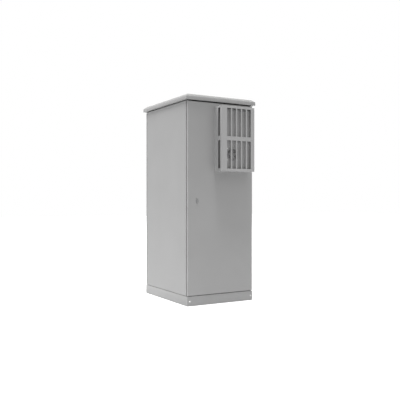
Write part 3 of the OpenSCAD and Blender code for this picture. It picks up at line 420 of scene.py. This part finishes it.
def dust_and_shade_group():
    """Thin patchy film on what faces up, darker than the paint: partly road dust and partly painted shade
    that tones down the light from above on upward faces, such as the roof's slope and the hood's top bend.
    """
    nodes, ends_in, ends_out = new_group(
        "road_dust",
        (("Steep", 0.15), ("Flat", 0.6), ("Patch Size", 0.15), ("Amount", 0.5)),
        ("Film",),
    )
    given = ends_in.outputs
    where = nodes.add("ShaderNodeTexCoord")
    split = nodes.add("ShaderNodeSeparateXYZ")
    nodes.link(where.outputs["Normal"], split.inputs["Vector"])
    rise = nodes.add("ShaderNodeMapRange")
    nodes.link(split.outputs["Z"], rise.inputs["Value"])
    nodes.link(given["Steep"], rise.inputs["From Min"])
    nodes.link(given["Flat"], rise.inputs["From Max"])
    patch = nodes.add("ShaderNodeTexNoise", Detail=4.0, Roughness=0.6)
    scaled_by_size(nodes, patch, where.outputs["Object"], given["Patch Size"])
    patchy = map_range(nodes, patch.outputs["Fac"], *DUST_AND_SHADE_PATCHES)
    cover = math_node(nodes, "MULTIPLY", patchy, given["Amount"])
    nodes.link(math_node(nodes, "MULTIPLY", rise.outputs["Result"], cover), ends_out.inputs["Film"])
    return nodes.tree


def new_material(name):
    """A material with only a Principled BSDF, in place of the frame's plain one of that name."""
    plain = bpy.data.materials.get(name)
    if plain:
        bpy.data.materials.remove(plain)
    material = bpy.data.materials.new(name)
    material.use_nodes = True
    return material, Nodes(material.node_tree), material.node_tree.nodes["Principled BSDF"]


def dust_and_shade_over(coat, group, finish):
    """Lays the film of road dust and painted shade on what faces up, over a coated material's colour."""
    nodes = Nodes(coat.node_tree)
    dust_and_shade_film = use_group(nodes, group, Amount=finish.dust_and_shade_cover)
    mix = nodes.add("ShaderNodeMix")
    mix.data_type = "RGBA"
    factor, below, above = mix.inputs[0], mix.inputs[6], mix.inputs[7]
    colour = coat.node_tree.nodes["Principled BSDF"].inputs["Base Color"]
    nodes.link(dust_and_shade_film.outputs["Film"], factor)
    nodes.link(colour.links[0].from_socket, below)
    above.default_value = (*finish.dust_and_shade, 1.0)
    nodes.link(mix.outputs[2], colour)


# Part of a 0..1 tone over which a colour goes from dark to light
TONE_STOPS = (0.3, 0.7)


def tone_colour(nodes, tone, colour, spread):
    """The colour, a little darker and lighter along a 0..1 tone; returns a colour socket."""
    ramp = nodes.add("ShaderNodeValToRGB")
    stops = ramp.color_ramp.elements
    for stop, place, factor in zip(stops, TONE_STOPS, (1 - spread, 1 + spread)):
        stop.color = (*(min(1.0, channel * factor) for channel in colour), 1.0)
        stop.position = place
    nodes.link(tone, ramp.inputs["Fac"])
    return ramp.outputs["Color"]


def coated(name, colour, group, peel, rough, depth, spread=0.03, cloud=0.45):
    """Coated or moulded surface with peel, cloudy roughness and a slow change of tone."""
    material, nodes, shader = new_material(name)
    low, high = rough
    coat = use_group(nodes, group, Peel_Size=peel, Cloud_Size=cloud, Rough_Low=low, Rough_High=high)
    nodes.link(tone_colour(nodes, coat.outputs["Tone"], colour, spread), shader.inputs["Base Color"])
    nodes.link(coat.outputs["Roughness"], shader.inputs["Roughness"])
    relief = nodes.add("ShaderNodeBump", Distance=depth, Strength=0.6)
    nodes.link(coat.outputs["Height"], relief.inputs["Height"])
    nodes.link(relief.outputs["Normal"], shader.inputs["Normal"])
    return material


def bare_metal(name, colour, group, crystal, rough, spread):
    """Bare or plated metal with crystal-like change of tone and gloss."""
    _, nodes, shader = new_material(name)
    low, high = rough
    shader.inputs["Metallic"].default_value = 1.0
    zinc = use_group(nodes, group, Crystal_Size=crystal, Rough_Low=low, Rough_High=high)
    nodes.link(tone_colour(nodes, zinc.outputs["Tone"], colour, spread), shader.inputs["Base Color"])
    nodes.link(zinc.outputs["Roughness"], shader.inputs["Roughness"])


# Grain shared by powder-coated outer sheets, and by moulded pieces
SPRAYED = {"rough": (0.46, 0.56), "depth": 0.12 * MM}
MOULDED = {"peel": 0.9 * MM, "rough": (0.42, 0.55), "depth": 0.1 * MM, "spread": 0.08, "cloud": 0.1}
CASING_GRAIN = {"rough": (0.5, 0.6), "depth": 0.12 * MM}
RUBBER_GRAIN = {"peel": 1.2 * MM, "rough": (0.75, 0.9), "depth": 0.4 * MM, "spread": 0.12, "cloud": 0.1}
CAST_GRAIN = {"peel": 0.8 * MM, "rough": (0.34, 0.44), "depth": 0.05 * MM, "spread": 0.1, "cloud": 0.03}


def build_materials():
    """One material for each of the record's slots, of the slot's name, and a lighter copy of the cabinet
    paint for the hood, which is painted light.
    """
    finish, _ = settings()
    coat, zinc, dust_and_shade = coat_texture_group(), spangle_group(), dust_and_shade_group()
    # The hood's paint is the cabinet paint made lighter: painted light
    for name, colour in (("cabinet_paint", finish.paint), ("hood_paint", finish.hood)):
        # Both paints get the film of dust and painted shade on upward faces
        dust_and_shade_over(coated(name, colour, coat, finish.peel, **SPRAYED), dust_and_shade, finish)
    # The casing's darker paint is painted shade in the recess behind the hood's slots
    coated("casing_paint", finish.casing, coat, finish.peel, **CASING_GRAIN)
    coated("fan_plastic", finish.fan, coat, **MOULDED)
    coated("black_plastic", finish.plastic, coat, **MOULDED)
    coated("seal_rubber", finish.rubber, coat, **RUBBER_GRAIN)
    coated("lock_casting", finish.casting, coat, **CAST_GRAIN)
    bare_metal("zinc_steel", finish.zinc, zinc, crystal=10 * MM, rough=(0.36, 0.50), spread=0.09)
    bare_metal("steel", finish.steel, zinc, crystal=3 * MM, rough=(0.24, 0.36), spread=0.06)
    bare_metal("fin_aluminium", finish.aluminium, zinc, crystal=20 * MM, rough=(0.25, 0.4), spread=0.08)
    bare_metal("brass", finish.brass, zinc, crystal=6 * MM, rough=(0.26, 0.42), spread=0.1)


def dress(piece, finish):
    """Gives a piece one material."""
    piece.data.materials.clear()
    piece.data.materials.append(bpy.data.materials[finish])


def new_piece(name, fill, body, slot):
    """Makes a mesh object from a bmesh that fill shapes, dressed and riding on a body."""
    mesh = bpy.data.meshes.new(name)
    shape = bmesh.new()
    fill(shape)
    shape.to_mesh(mesh)
    shape.free()
    piece = bpy.data.objects.new(name, mesh)
    bpy.context.scene.collection.objects.link(piece)
    dress(piece, slot)
    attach(piece, body)
    return piece


def merged_copy(shape, node):
    """Fills a bmesh with a CAD node's mesh, its loose triangles joined."""
    shape.from_mesh(frame["nodes"][node].data)
    bmesh.ops.remove_doubles(shape, verts=shape.verts, dist=MERGE_REACH)


def face_width(face):
    """Mean width of a long face: its area over its longest edge."""
    return face.calc_area() / max(edge.calc_length() for edge in face.edges)


def crisp_edges(shape, narrowest):
    """Convex edges between two faces that are both wider than narrowest."""
    chosen = []
    for edge in shape.edges:
        if len(edge.link_faces) != 2 or not edge.is_convex:
            continue
        if edge.calc_face_angle() < math.radians(CRISP_DEGREES):
            continue
        if min(face_width(face) for face in edge.link_faces) > narrowest:
            chosen.append(edge)
    return chosen


def shade_by_angle(piece, degrees):
    """Smooth shading that keeps edges sharper than the given angle."""
    piece.data.polygons.foreach_set("use_smooth", [True] * len(piece.data.polygons))
    piece.data.set_sharp_from_angle(angle=math.radians(degrees))


def rounded_twin(node, radius, segments):
    """A copy of a CAD node with rounded edges, which stands for the node."""

    def fill(shape):
        merged_copy(shape, node)
        bmesh.ops.dissolve_limit(
            shape, angle_limit=math.radians(FLAT_DEGREES), verts=shape.verts, edges=shape.edges,
            use_dissolve_boundaries=False, delimit=set(),
        )
        bmesh.ops.bevel(
            shape, geom=crisp_edges(shape, WIDE_ENOUGH * radius), offset=radius, offset_type="OFFSET",
            affect="EDGES", segments=segments, profile=0.5, material=-1, clamp_overlap=True,
        )

    piece = new_piece(node + "_bent", fill, BODY_OF[node], SLOT_OF[node])
    dress(piece, LIT_COPY_FINISH.get(node, SLOT_OF[node]))
    shade_by_angle(piece, TWIN_SHADE_DEGREES)
    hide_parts(node)


def raised(shape, faces):
    """Extrudes faces in place; returns the vertices of the new ones."""
    made = bmesh.ops.extrude_face_region(shape, geom=faces)
    return [item for item in made["geom"] if isinstance(item, bmesh.types.BMVert)]


def add_head(shape, centre, normal, size, sides, dome):
    """A screw or rivet head on a face: a short drum with a smaller crown."""
    radius, height = size
    made = bmesh.ops.create_circle(shape, cap_ends=True, cap_tris=False, segments=sides, radius=radius)
    foot = made["verts"]
    rim = raised(shape, [face for face in shape.faces if foot[0] in face.verts])
    bmesh.ops.translate(shape, verts=rim, vec=(0, 0, height * (1 - dome)))
    cap = [face for face in shape.faces if all(vert in rim for vert in face.verts)]
    crown = raised(shape, cap)
    bmesh.ops.delete(shape, geom=cap, context="FACES_ONLY")
    bmesh.ops.scale(shape, verts=crown, vec=(CROWN_SHARE, CROWN_SHARE, 1))
    bmesh.ops.translate(shape, verts=crown, vec=(0, 0, height * dome))
    turn = Vector((0, 0, 1)).rotation_difference(normal).to_matrix().to_4x4()
    bmesh.ops.transform(shape, matrix=Matrix.Translation(centre) @ turn, verts=foot + rim + crown)


def heads(name, spots, normal, size, body, slot, form=ROUND):
    """One piece of many equal screw or rivet heads that face the same way."""

    def fill(shape):
        for spot in spots:
            add_head(shape, Vector(spot), Vector(normal), size, **form)
        bmesh.ops.recalc_face_normals(shape, faces=shape.faces)

    shade_by_angle(new_piece(name, fill, body, slot), HEAD_SHADE_DEGREES)


def solid_boxes(node):
    """The boxes of a node's separate solids, from low to high x, y and z."""
    shape = bmesh.new()
    merged_copy(shape, node)
    left = set(shape.verts)
    boxes = []
    while left:
        queue = [left.pop()]
        found = list(queue)
        while queue:
            for edge in queue.pop().link_edges:
                for vert in edge.verts:
                    if vert in left:
                        left.remove(vert)
                        queue.append(vert)
                        found.append(vert)
        low = Vector(min(vert.co[axis] for vert in found) for axis in range(3))
        high = Vector(max(vert.co[axis] for vert in found) for axis in range(3))
        boxes.append((low, high))
    shape.free()
    return sorted(boxes, key=lambda box: tuple(round(value, 4) for value in box[0]))


class CABINET_OT_finishes(Operator):
    """Gives every CAD node its finish"""

    bl_idname = "cabinet.finishes"
    bl_label = "Finishes"

    def execute(self, context):
        build_materials()
        for name, node in frame["nodes"].items():
            dress(node, LIT_COPY_FINISH.get(name, SLOT_OF[name]))
        return {"FINISHED"}


class CABINET_OT_bends(Operator):
    """Rounds the bends of folded and moulded pieces and eases the edges of small ones"""

    bl_idname = "cabinet.bends"
    bl_label = "Folded edges"

    def execute(self, context):
        for node, radius in FOLDED.items():
            rounded_twin(node, radius * MM, FOLD_STEPS)
        for node, width in EASED.items():
            rounded_twin(node, width * MM, EASE_STEPS)
        return {"FINISHED"}


class CABINET_OT_hinge_screws(Operator):
    """Puts the screws on the hinges' leaves"""

    bl_idname = "cabinet.hinge_screws"
    bl_label = "Hinge screws"

    def execute(self, context):
        axis_x = JOINT["door_hinge"]["pos_m"][0]
        for node, towards in (("hinge_body_leaves", -1), ("hinge_door_leaves", 1)):
            spots = []
            for low, high in solid_boxes(node):
                face_y = low.y + LEAF_T if towards > 0 else high.y - LEAF_T
                for share in HINGE_COLUMNS:
                    for rise in HINGE_ROWS:
                        place_z = (low.z + high.z) / 2 + rise * (high.z - low.z)
                        spots.append((axis_x + share * (low.x - axis_x), face_y, place_z))
            heads(node + "_screws", spots, (0, towards, 0), HINGE_HEAD, BODY_OF[node], "steel")
        return {"FINISHED"}


class CABINET_OT_frame_screws(Operator):
    """Puts the screws on rail brackets, gland plate and earth bar"""

    bl_idname = "cabinet.frame_screws"
    bl_label = "Frame screws"

    def execute(self, context):
        facing_right, facing_left = [], []
        for low, high in solid_boxes("rail_brackets"):
            middle = (low + high) / 2
            for rise in BRACKET_ROWS:
                place_z = middle.z + rise * (high.z - low.z)
                facing_right.append((low.x + BRACKET_T, middle.y, place_z))
                facing_left.append((high.x - BRACKET_T, middle.y, place_z))
        heads("bracket_screws_right", facing_right, (1, 0, 0), BRACKET_HEAD, "cabinet", "steel", HEXAGON)
        heads("bracket_screws_left", facing_left, (-1, 0, 0), BRACKET_HEAD, "cabinet", "steel", HEXAGON)
        low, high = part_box("gland_plate")
        spots = []
        for share in GLAND_COLUMNS:
            place_x = low.x + GLAND_EDGE + share * (high.x - low.x - 2 * GLAND_EDGE)
            spots += [(place_x, low.y + GLAND_EDGE, high.z), (place_x, high.y - GLAND_EDGE, high.z)]
        heads("gland_screws", spots, (0, 0, 1), GLAND_HEAD, "cabinet", "steel")
        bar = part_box("earth_bar")[0]
        spots = [
            ((low.x + high.x) / 2, bar.y, (low.z + high.z) / 2)
            for low, high in solid_boxes("earth_insulators")
        ]
        heads("earth_screws", spots, (0, -1, 0), EARTH_HEAD, "cabinet", "steel", HEXAGON)
        return {"FINISHED"}


class CABINET_OT_cooler_screws(Operator):
    """Puts the fan screws and the housing's rivets on the cooling unit"""

    bl_idname = "cabinet.cooler_screws"
    bl_label = "Cooler screws"

    def execute(self, context):
        for fan, shell, side in (("outer_fan", "cooler_casing", -1), ("inner_fan", "inner_housing", 1)):
            low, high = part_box(fan + "_frame")
            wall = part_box(shell)[0 if side < 0 else 1].y
            middle = (low + high) / 2
            reach = FAN_CORNER * (high.x - low.x)
            spots = [
                (middle.x + across * reach, wall, middle.z + up * reach)
                for across in (-1, 1) for up in (-1, 1)
            ]
            heads(fan + "_screws", spots, (0, side, 0), FAN_HEAD, "door", "steel")
        low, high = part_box("inner_housing")
        rows = [low.z + (high.z - low.z) * (step + 0.5) / RIVET_COUNT for step in range(RIVET_COUNT)]
        for name, side, wall in (("housing_rivets_left", -1, low.x), ("housing_rivets_right", 1, high.x)):
            spots = [(wall, low.y + RIVET_EDGE, row) for row in rows]
            heads(name, spots, (side, 0, 0), RIVET_HEAD, "door", "zinc_steel")
        return {"FINISHED"}


# Lamps: place, edge and the property that holds the power; all are aimed at one point in the cabinet
LAMPS = {
    "key_lamp": ((-16.5, 10.0, 4.5), 5.0, "key_power"),
    "left_lamp": ((-7.5, 5.0, 20.0), 8.0, "left_power"),
    "top_lamp": ((-1.0, -2.6, 20.0), 5.0, "top_power"),
    "front_lamp": ((1.0, -12.0, 12.0), 10.0, "front_power"),
    "fill_lamp": ((14.0, 9.0, 8.0), 8.0, "fill_power"),
}
LIT_POINT = Vector((0.0, 0.0, 1.0))
WHITE = (1, 1, 1, 1)
# Gap between floor and plinth, and the floor's tone for the cabinet's light and where it is seen
FLOOR_DROP = 0.5 * MM
FLOOR_TONES = (0.2, 0.82)
# Distance from the cabinet's middle at which the floor's light starts to fall
GLOW_START = 0.5
# Distances between which the seen floor goes from pale to white, and its glow there
PALE_RANGE = (3.0, 10.0)
PALE_GLOW = (0.72, 1.0)
SENSOR_MM = 36
FAR_CLIP = 200


def area_lamp(name, place, size, power):
    """A square soft lamp aimed at the cabinet."""
    data = bpy.data.lights.new(name, "AREA")
    data.shape = "SQUARE"
    data.size = size
    data.energy = power
    lamp = bpy.data.objects.new(name, data)
    bpy.context.scene.collection.objects.link(lamp)
    lamp.location = place
    lamp.rotation_euler = (lamp.location - LIT_POINT).to_track_quat("Z", "Y").to_euler()
    lamp.visible_camera = False
    return lamp


def white_seen(nodes):
    """One where a ray comes from the camera, a mirror-like or a clear surface, else zero."""
    rays = nodes.add("ShaderNodeLightPath")
    seen = math_node(nodes, "MAXIMUM", rays.outputs["Is Camera Ray"], rays.outputs["Is Glossy Ray"])
    return math_node(nodes, "MAXIMUM", seen, rays.outputs["Is Transmission Ray"])


def build_world(strength):
    """Even light, with a white background where it is seen."""
    world = bpy.data.worlds.new("studio")
    world.use_nodes = True
    nodes = Nodes(world.node_tree)
    world.node_tree.nodes.clear()
    even = nodes.add("ShaderNodeBackground", Color=WHITE, Strength=strength)
    white = nodes.add("ShaderNodeBackground", Color=WHITE, Strength=1.0)
    mix = nodes.add("ShaderNodeMixShader")
    ends = nodes.add("ShaderNodeOutputWorld")
    nodes.link(white_seen(nodes), mix.inputs[0])
    nodes.link(even.outputs[0], mix.inputs[1])
    nodes.link(white.outputs[0], mix.inputs[2])
    nodes.link(mix.outputs[0], ends.inputs["Surface"])
    bpy.context.scene.world = world


def beside_plinth(nodes, where):
    """One on the open floor, zero in the dark under the plinth."""
    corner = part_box("plinth_left")[0]
    split = nodes.add("ShaderNodeSeparateXYZ")
    nodes.link(where, split.inputs["Vector"])
    past = []
    for axis, edge in (("X", -corner.x), ("Y", -corner.y)):
        away = math_node(nodes, "ABSOLUTE", split.outputs[axis], 0.0)
        past.append(math_node(nodes, "GREATER_THAN", away, edge))
    return math_node(nodes, "MAXIMUM", *past)


def fade(nodes, value, start, end, first, last):
    """Goes from first to last while a value goes from start to end; returns its output."""
    made = nodes.add("ShaderNodeMapRange", From_Min=start, From_Max=end, To_Min=first, To_Max=last)
    nodes.link(value, made.inputs["Value"])
    return made.outputs["Result"]


def floor_glow(nodes, seen, stage):
    """Light that the floor sends up, stronger near the cabinet; pale to white where it is seen."""
    where = nodes.add("ShaderNodeTexCoord").outputs["Object"]
    away = nodes.add("ShaderNodeVectorMath")
    away.operation = "LENGTH"
    nodes.link(where, away.inputs[0])
    distance = away.outputs["Value"]
    near = stage.floor_far + stage.floor_near
    glow = nodes.add("ShaderNodeMix")
    factor, unseen, pale = glow.inputs[0], glow.inputs[2], glow.inputs[3]
    nodes.link(seen, factor)
    nodes.link(fade(nodes, distance, GLOW_START, stage.floor_reach, near, stage.floor_far), unseen)
    nodes.link(fade(nodes, distance, *PALE_RANGE, *PALE_GLOW), pale)
    return math_node(nodes, "MULTIPLY", glow.outputs[0], beside_plinth(nodes, where))


def build_floor(stage):
    """Pale plain floor just under the plinth."""
    mesh = bpy.data.meshes.new("studio_floor")
    shape = bmesh.new()
    bmesh.ops.create_grid(shape, x_segments=1, y_segments=1, size=stage.floor_size / 2)
    shape.to_mesh(mesh)
    shape.free()
    floor = bpy.data.objects.new("studio_floor", mesh)
    bpy.context.scene.collection.objects.link(floor)
    floor.location.z = -FLOOR_DROP
    pale, nodes, shader = new_material("studio_floor")
    shader.inputs["Roughness"].default_value = 0.9
    shader.inputs["Specular IOR Level"].default_value = 0.0
    shader.inputs["Emission Color"].default_value = WHITE
    seen = white_seen(nodes)
    nodes.link(map_range(nodes, seen, *FLOOR_TONES), shader.inputs["Base Color"])
    nodes.link(floor_glow(nodes, seen, stage), shader.inputs["Emission Strength"])
    mesh.materials.append(pale)


class CABINET_OT_stage(Operator):
    """Sets up camera, lamps, background and floor"""

    bl_idname = "cabinet.stage"
    bl_label = "Studio"

    def execute(self, context):
        _, stage = settings()
        scene = context.scene
        build_world(stage.sky)
        build_floor(stage)
        for name, (place, size, power) in LAMPS.items():
            area_lamp(name, place, size, getattr(stage, power))
        data = bpy.data.cameras.new("camera")
        data.lens = stage.lens
        data.sensor_width = SENSOR_MM
        data.clip_end = FAR_CLIP
        camera = bpy.data.objects.new("camera", data)
        scene.collection.objects.link(camera)
        camera.location = stage.camera_place
        camera.rotation_euler = (math.radians(90), 0, -stage.camera_yaw)
        scene.camera = camera
        scene.view_settings.view_transform = "Standard"
        return {"FINISHED"}


class CABINET_PT_panel(Panel):
    """Finish and studio values with one button for each step"""

    bl_idname = "CABINET_PT_panel"
    bl_label = "Roadside utility cabinet"
    bl_space_type = "VIEW_3D"
    bl_region_type = "UI"
    bl_category = "Cabinet"

    def draw(self, context):
        layout = self.layout
        for group in settings():
            for name in group.bl_rna.properties.keys():
                if name not in {"rna_type", "name"}:
                    layout.prop(group, name)
        for step in STEPS:
            layout.operator(step.bl_idname)


STEPS = (
    CABINET_OT_finishes,
    CABINET_OT_bends,
    CABINET_OT_hinge_screws,
    CABINET_OT_frame_screws,
    CABINET_OT_cooler_screws,
    CABINET_OT_stage,
)
CLASSES = (CabinetFinish, CabinetStage, *STEPS, CABINET_PT_panel)


def register():
    """Registers the classes and the scene's property groups."""
    for cls in CLASSES:
        bpy.utils.register_class(cls)
    bpy.types.Scene.cabinet_finish = PointerProperty(type=CabinetFinish)
    bpy.types.Scene.cabinet_stage = PointerProperty(type=CabinetStage)


def unregister():
    """Takes the property groups and classes away again."""
    del bpy.types.Scene.cabinet_stage
    del bpy.types.Scene.cabinet_finish
    for cls in reversed(CLASSES):
        bpy.utils.unregister_class(cls)


def main():
    register()
    bpy.ops.cabinet.finishes()
    bpy.ops.cabinet.bends()
    bpy.ops.cabinet.hinge_screws()
    bpy.ops.cabinet.frame_screws()
    bpy.ops.cabinet.cooler_screws()
    bpy.ops.cabinet.stage()


if __name__ == "__main__":
    main()
